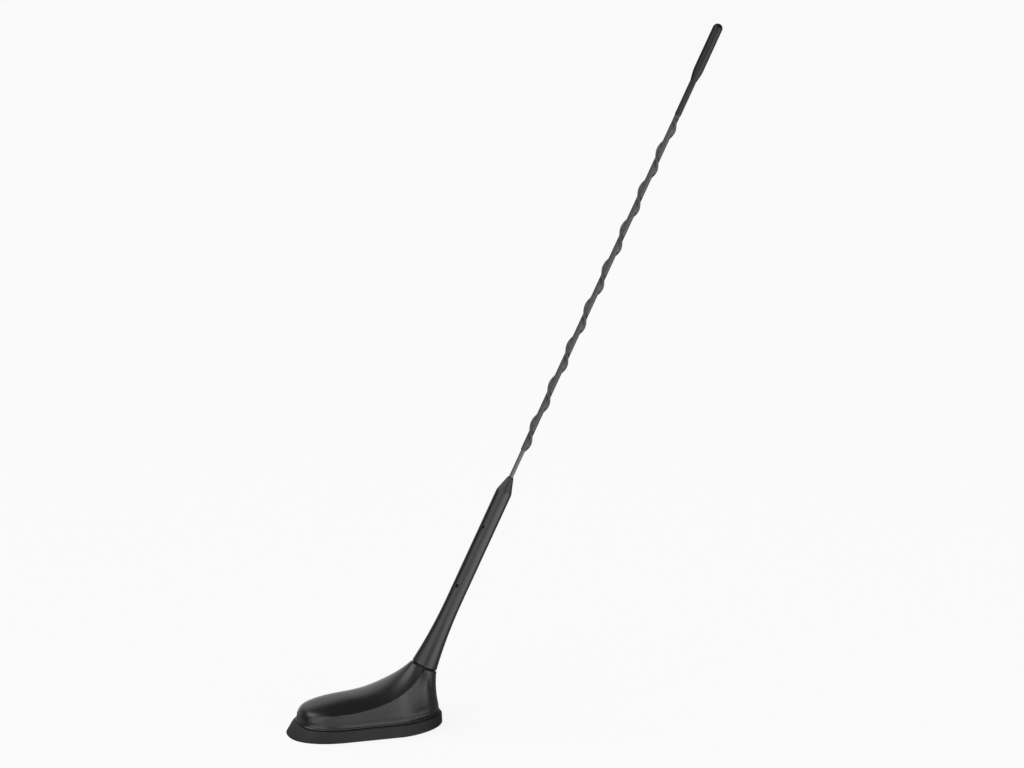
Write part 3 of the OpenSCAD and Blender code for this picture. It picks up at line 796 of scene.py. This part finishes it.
# %% The ferrule's mesh
PITS = [(49.8, -138.0), (86.5, -148.0)]  # distance along the mast, and angle round it
GRIP, FOOT, CONE, FERRULE = 4.6, 7.5, 108.9, 118.6
flare = [(GRIP + (FOOT - GRIP) * (1 - f) ** 2.1, 0.4 + 42 * f) for f in np.linspace(0, 1, 40)]
pit_rows = [np.linspace(w - 1.4, w + 1.4, 29) for w, _ in PITS]
rows = sorted(set(np.concatenate([np.linspace(44, 108.2, 16)] + pit_rows)))
section = [(4.42, 0), (FOOT - 0.4, 0)] + flare + [(GRIP, w) for w in rows]
section += [(GRIP, CONE), (GRIP - 0.25, CONE + 1.1), (GRIP - 0.7, CONE + 2.4),
            (1.9, FERRULE - 0.8), (1.55, FERRULE)]
top = len(section)
section += [(1.24, FERRULE), (1.24, 24.2), (3.25, 24.2), (3.25, 1.5), (4.42, 1.5)]
section = ring_lines(section, [2, *range(top - 5, top)], 0.5)
near = np.concatenate([np.linspace(a - 17, a + 17, 35) for _, a in PITS])
columns = np.array(sorted(set(np.round(np.concatenate([near, np.arange(-110, 190, 4)]), 3))))
ferrule = revolve("ferrule_moulding", section, ferrule_finish, columns, sharp=35)
print("ferrule:", len(ferrule.data.polygons), "quads")

# %% [markdown]
# The pits are sunk by moving the points towards the axis: by the full depth inside a
# pit, by less on its wall, and a hair outwards on the rim, where the plastic swelled
# round the pin. The bore inside the ferrule stays as it is.

# %% The pits
PIT_DEPTH, PIT_RADIUS, PIT_WALL = 1.7, 1.05, 0.2
SWELL, SWELL_AT, SWELL_WIDTH = 0.05, 1.2, 0.14
radii, along = [np.repeat(column, len(columns)) for column in zip(*section)]
round_at = np.tile(columns, len(section))
sunk = np.zeros(len(radii))
for w, a in PITS:
    away = np.hypot(along - w, np.radians((round_at - a + 180) % 360 - 180) * GRIP)
    depth = PIT_DEPTH * np.clip((PIT_RADIUS - away) / PIT_WALL, 0, 1) ** 0.8
    depth -= SWELL * np.exp(-((away - SWELL_AT) / SWELL_WIDTH) ** 2)
    sunk = np.where((radii > 4) & (np.abs(depth) > np.abs(sunk)), depth, sunk)
moved = along_mast(radii - sunk, round_at, along)
ferrule.data.vertices.foreach_set("co", (moved / 1000).ravel())
ferrule.data.update()
print("pits:", round(float(sunk.max()), 2), "mm deep")

# %% [markdown]
# ## The sleeve over the spiral
#
# A cord is wound round the rod so that the wind doesn't make the mast whistle, and
# a sleeve is shrunk tight over both. Anywhere along the mast, the sleeve's section is
# the outline of a band drawn round two circles: the rod and the cord. That section turns
# as it climbs. This is a rule, so Geometry Nodes build it: a plain cylinder is the grid,
# and each of its points is moved to the radius that the rule gives. Sculpting or a screw
# modifier would have to be redone for each pitch, while here the pitch is an input.

# %% Helpers for Geometry Nodes
def rule_tree(name, inputs):
    """A Geometry Nodes tree with named number inputs. Returns its graph and input wires."""
    tree = bpy.data.node_groups.new(name, "GeometryNodeTree")
    tree.interface.new_socket(name="Geometry", in_out="INPUT", socket_type="NodeSocketGeometry")
    tree.interface.new_socket(name="Geometry", in_out="OUTPUT", socket_type="NodeSocketGeometry")
    for label in inputs:
        tree.interface.new_socket(name=label, in_out="INPUT", socket_type="NodeSocketFloat")
    graph = Graph(tree)
    start = graph.add("NodeGroupInput")
    return graph, {label: start.out(label) for label in inputs}


def close_tree(graph, geometry, finish):
    """Realizes what the tree made, gives it its finish and sends it out."""
    whole = graph.add("GeometryNodeRealizeInstances", sockets={0: geometry})
    dressed = graph.add("GeometryNodeSetMaterial", sockets={"Geometry": whole, "Material": finish})
    graph.add("NodeGroupOutput", sockets={0: dressed})


def made_by_rule(name, graph, values, sharp=40):
    """Runs a tree on an empty mesh and keeps the result as a plain mesh."""
    piece = bpy.data.objects.new(name, bpy.data.meshes.new(name))
    bpy.context.scene.collection.objects.link(piece)
    rule = piece.modifiers.new("rule", "NODES")
    rule.node_group = graph.tree
    for socket in graph.tree.interface.items_tree:
        if socket.in_out == "INPUT" and socket.name in values:
            rule[socket.identifier] = values[socket.name]
    depsgraph = bpy.context.evaluated_depsgraph_get()
    mesh = bpy.data.meshes.new_from_object(piece.evaluated_get(depsgraph))
    piece.modifiers.clear()
    piece.data = mesh
    mesh.shade_smooth()
    mesh.set_sharp_from_angle(angle=math.radians(sharp))
    return piece


def stood_on_mast(graph, geometry, distance=0.0):
    """Moves geometry that was made upright onto the leaning mast."""
    sockets = {"Geometry": geometry, "Translation": tuple(along_mast(0, 0, distance) / 1000),
               "Rotation": (0, lean, 0)}
    return graph.add("GeometryNodeTransform", sockets=sockets)


def wall_grid(graph, columns, rings):
    """An open upright cylinder, with each point's angle and share of the height."""
    grid = graph.add("GeometryNodeMeshCylinder", {"fill_type": "NONE"},
                     {"Vertices": columns, "Side Segments": rings, "Radius": 1.0, "Depth": 1.0})
    spot = graph.add("ShaderNodeSeparateXYZ", sockets={0: graph.add("GeometryNodeInputPosition")})
    return grid, spot.out("Y").maths("ARCTAN2", spot.out("X")), spot.out("Z") + 0.5


def shaped_to(graph, grid, turn, radius, distance):
    """The grid with its points moved to a radius and a distance in millimetres."""
    here = graph.add("ShaderNodeCombineXYZ",
                     sockets={0: radius * turn.maths("COSINE") * 0.001,
                              1: radius * turn.maths("SINE") * 0.001, 2: distance * 0.001})
    return graph.add("GeometryNodeSetPosition", sockets={"Geometry": grid, "Position": here})


print("mast's foot in metres:", (along_mast(0, 0, 0) / 1000).round(4).tolist())

# %% [markdown]
# The grid goes up the mast as the sleeve's outer skin and comes down again as its inner
# one. Each point first learns its distance along the mast and the skin it belongs to,
# then its angle from the cord. Over the cord the radius follows the cord, next to it the
# stretched bridge that sags a little, and elsewhere the rod.

# %% The sleeve's rule
PITCH, TURNS, ROD, CORD = 24.5, 8.4, 1.2, 0.6
ORBIT = ROD + CORD + 0.05  # from the rod's axis to the cord's
SLEEVE_FROM, CAP_FROM = 135.3, 367.0
SPIRAL_FROM = 136.0
SPIRAL_TO = SPIRAL_FROM + TURNS * PITCH
# The ridge was read in the photograph at this angle, at this distance along the mast
RIDGE_TURN, RIDGE_AT = math.radians(156.7), 152.3
sizes = {"Rod radius": ROD, "Cord radius": CORD, "Wall": 0.4, "Slack": 0.08, "Pitch": PITCH,
         "From": SLEEVE_FROM, "To": CAP_FROM, "Spiral end": SPIRAL_TO, "Fade": 3.0, "Sag": 0.07}
SLEEVE_ROWS = 620  # on each skin
g, size = rule_tree("sleeve over a spiral", sizes)
grid, turn, step = wall_grid(g, 72, 2 * SLEEVE_ROWS)
climb = 1 - (1 - step * 2).maths("ABSOLUTE")
distance = size["From"] + (size["To"] - size["From"]) * climb
lip = (climb * SLEEVE_ROWS).maths("MINIMUM", 1)
skin = g.either(step > 0.5, size["Slack"], size["Wall"])
middle = (size["Wall"] + size["Slack"]) * 0.5
skin = middle + (skin - middle) * lip
big, small = size["Rod radius"] + skin, size["Cord radius"] + skin
orbit = size["Rod radius"] + size["Cord radius"] + 0.05
slope = ((size["Rod radius"] - size["Cord radius"]) / orbit).maths("ARCCOSINE")
leave = (small * slope.maths("SINE")).maths("ARCTAN2", orbit + small * slope.maths("COSINE"))
wound = (distance.maths("MINIMUM", size["Spiral end"]) - RIDGE_AT) / size["Pitch"]
ridge_turn = RIDGE_TURN - wound * (2 * math.pi)
apart = (turn - ridge_turn).maths("WRAP", math.pi, -math.pi).maths("ABSOLUTE")
across = orbit * apart.maths("SINE")
half_chord = (small * small - across * across).maths("MAXIMUM", 0).maths("SQRT")
over_cord = orbit * apart.maths("COSINE") + half_chord
between = (apart - leave) / (slope - leave)
sink = size["Sag"] * 4 * between * (1 - between)
bridge = big / (slope - apart).maths("COSINE") - sink
radius = g.either(apart < leave, over_cord, g.either(apart < slope, bridge, big))
fade = ((distance - size["Spiral end"]) / size["Fade"]).maths("MAXIMUM", 0).maths("MINIMUM", 1)
fade = fade * fade * (3 - fade * 2)
radius = radius + (big - radius) * fade
shaped = shaped_to(g, grid, turn, radius, distance)
welded = g.add("GeometryNodeMergeByDistance", sockets={"Geometry": shaped, "Distance": 0.000001})
close_tree(g, stood_on_mast(g, welded), sleeve_finish)
sleeve = made_by_rule("sleeve_skin", g, sizes)
print("sleeve:", len(sleeve.data.polygons), "faces")

# %% [markdown]
# The cord itself is a helix with a round section. The Spiral node gives the path, and
# Curve to Mesh gives it a body. It has to be wound the same way as the sleeve's ridge,
# or it would poke out of the sleeve.

# %% The cord's rule
cord_sizes = {"Orbit": ORBIT, "Cord radius": CORD, "Pitch": PITCH, "Turns": TURNS}
g, size = rule_tree("wound cord", cord_sizes)
orbit = size["Orbit"] * 0.001
path = g.add("GeometryNodeCurveSpiral",
             sockets={"Resolution": 48, "Rotations": size["Turns"], "Start Radius": orbit,
                      "End Radius": orbit, "Reverse": False,
                      "Height": size["Turns"] * size["Pitch"] * 0.001})
round_section = g.add("GeometryNodeCurvePrimitiveCircle",
                      sockets={"Resolution": 16, "Radius": size["Cord radius"] * 0.001})
body = g.add("GeometryNodeCurveToMesh",
             sockets={"Curve": path, "Profile Curve": round_section, "Fill Caps": True})
first_turn = RIDGE_TURN - (SPIRAL_FROM - RIDGE_AT) / PITCH * 2 * math.pi
twisted = g.add("GeometryNodeTransform",
                sockets={"Geometry": body, "Rotation": (0, 0, first_turn)})
close_tree(g, stood_on_mast(g, twisted, SPIRAL_FROM), cord_finish)
cord = made_by_rule("cord_helix", g, cord_sizes)
print("cord:", len(cord.data.polygons), "faces")

# %% [markdown]
# ## Rod, end sleeve and tip cap
#
# These are plain turned shapes, so each is a profile turned about the mast. The end
# sleeve is shrunk over the first sleeve's end, and the cap is pushed over it and glued.
# A cap like this ends in half a ball, so that nobody is hurt by the tip.

# %% Turned pieces of the mast
AXIS = 0.02  # a hair off the axis, so that the last ring doesn't fall into one point
ROD_FOOT, ROD_TOP = 8, 396.6
LENGTH, CAP_R, TAPER = 402.6, 2.85, 6.8
rod_profile = [(AXIS, ROD_FOOT), (ROD, ROD_FOOT), (ROD, 60), (ROD, 125), (ROD, ROD_TOP),
               (AXIS, ROD_TOP)]
rod = revolve("rod_drawn", rod_profile, rod_finish, closed=False)
end_profile = [(1.62, 345.5), (1.8, 345.5), (1.8, CAP_FROM), (1.62, CAP_FROM)]
end_profile = ring_lines(end_profile, [1, 2], 0.12)
end_sleeve = revolve("end_sleeve_skin", end_profile, end_sleeve_finish)
ball = [(CAP_R * math.cos(a), LENGTH - CAP_R + CAP_R * math.sin(a))
        for a in np.radians(np.linspace(0, 88.5, 22))]
cap_outside = [(1.83, CAP_FROM), (1.86, CAP_FROM), (2.31, CAP_FROM + TAPER * 0.34),
               (2.67, CAP_FROM + TAPER * 0.68), (CAP_R, CAP_FROM + TAPER),
               (CAP_R, CAP_FROM + TAPER + 6)] + ball
cap_outside = ring_lines(cap_outside, [4, 3, 2], 1.0, 5) + [(AXIS, LENGTH)]
cap_bore = [(AXIS, ROD_TOP), (1.21, ROD_TOP), (1.21, CAP_FROM + 1.2), (1.83, CAP_FROM + 1.2)]
cap = revolve("cap_moulding", cap_bore + cap_outside, cap_finish, closed=False)
print("mast pieces:", [len(p.data.polygons) for p in (rod, end_sleeve, cap)])

# %% [markdown]
# ## The stud's thread
#
# A thread is a ramp wound round a cylinder. The same trick as for the sleeve makes it:
# a grid whose radius depends on how far each point has climbed, less how far it has
# turned. It shows when the mast is screwed out. The socket's own thread hardly ever does,
# so the socket keeps its plain solid. The rest of the stud is a turned shape.


# %% The thread's rule
thread_sizes = {"Crest": 2.46, "Depth": 0.45, "Pitch": 0.8, "From": -10.0, "To": -1.2}


def thread(name, values, finish, rings, columns=40):
    """A threaded stretch of cylinder that runs out at both ends."""
    g, size = rule_tree(name, values)
    grid, turn, climb = wall_grid(g, columns, rings)
    distance = size["From"] + (size["To"] - size["From"]) * climb
    phase = (distance / size["Pitch"] - turn / (2 * math.pi)).maths("FRACT")
    groove = (1 - (phase * 2 - 1).maths("ABSOLUTE")) * 1.35 - 0.12
    groove = groove.maths("MAXIMUM", 0).maths("MINIMUM", 1)
    ends = (climb * 14).maths("MINIMUM", 1) * ((1 - climb) * 14).maths("MINIMUM", 1)
    radius = size["Crest"] - size["Depth"] * (1 - (1 - groove) * ends)
    shaped = shaped_to(g, grid, turn, radius, distance)
    close_tree(g, stood_on_mast(g, shaped), finish)
    return made_by_rule(name, g, values, sharp=60)


stud_thread = thread("stud_thread", thread_sizes, plated_finish, 170)
stud_profile = [(AXIS, -10), (1.6, -10), (2.01, -9.9), (1.9, -1.2), (2.0, -0.8), (2, 0), (4.4, 0),
                (4.4, 1.5), (3.2, 1.5), (3.2, 24), (1.22, 24), (1.22, ROD_FOOT), (AXIS, ROD_FOOT)]
stud_body = revolve("stud_body", stud_profile, plated_finish, closed=False)
print("thread:", len(stud_thread.data.polygons), "faces")

# %% [markdown]
# ## Finishes for the solids that stay
#
# The plate, the screws, the board and the jack already have their real shape, so they
# keep their solids and only get a finish.

# %% Finishes on solids
STAYING = {
    "base_plate": cast_finish, "plate_seal": seal_finish, "earth_ring": plated_finish,
    "housing_screws": plated_finish, "mast_socket": brass_finish,
    "socket_contact": bronze_finish, "amplifier_board": board_finish,
    "amplifier_chips": chip_finish, "shield_can": tin_finish, "board_screws": plated_finish,
    "coax_jack": nickel_finish, "jack_insulator": insulator_finish,
    "centre_contact": bronze_finish, "neck_seal": seal_finish}
for name, finish in STAYING.items():
    for material_slot in nodes[name].material_slots:
        material_slot.link = "OBJECT"
        material_slot.material = finish
print("solids with a finish:", len(STAYING))

# %% [markdown]
# ## What moves with what
#
# Each new piece says which body it rides on, which solid it stands for, and which slot
# of the record its finish belongs to; nothing here reads that slot.

# %% Bodies
RIDES = [(housing, "base", "housing", "housing_plastic"),
         (gasket, "base", "base_gasket", "gasket_rubber"),
         (ferrule, "mast", "ferrule", "ferrule_plastic"),
         (sleeve, "mast", "mast_sleeve", "sleeve_plastic"),
         (cord, "mast", "spiral_cord", "cord_plastic"),
         (rod, "mast", "mast_rod", "rod_steel"),
         (end_sleeve, "mast", "end_sleeve", "end_sleeve_plastic"),
         (cap, "mast", "tip_cap", "cap_plastic"),
         (stud_thread, "mast", "mast_stud", "plated_steel"),
         (stud_body, "mast", "mast_stud", "plated_steel")]
for piece, body, node_name, slot_name in RIDES:
    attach(piece, body)
    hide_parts(node_name)
print("pieces riding:", len(RIDES))
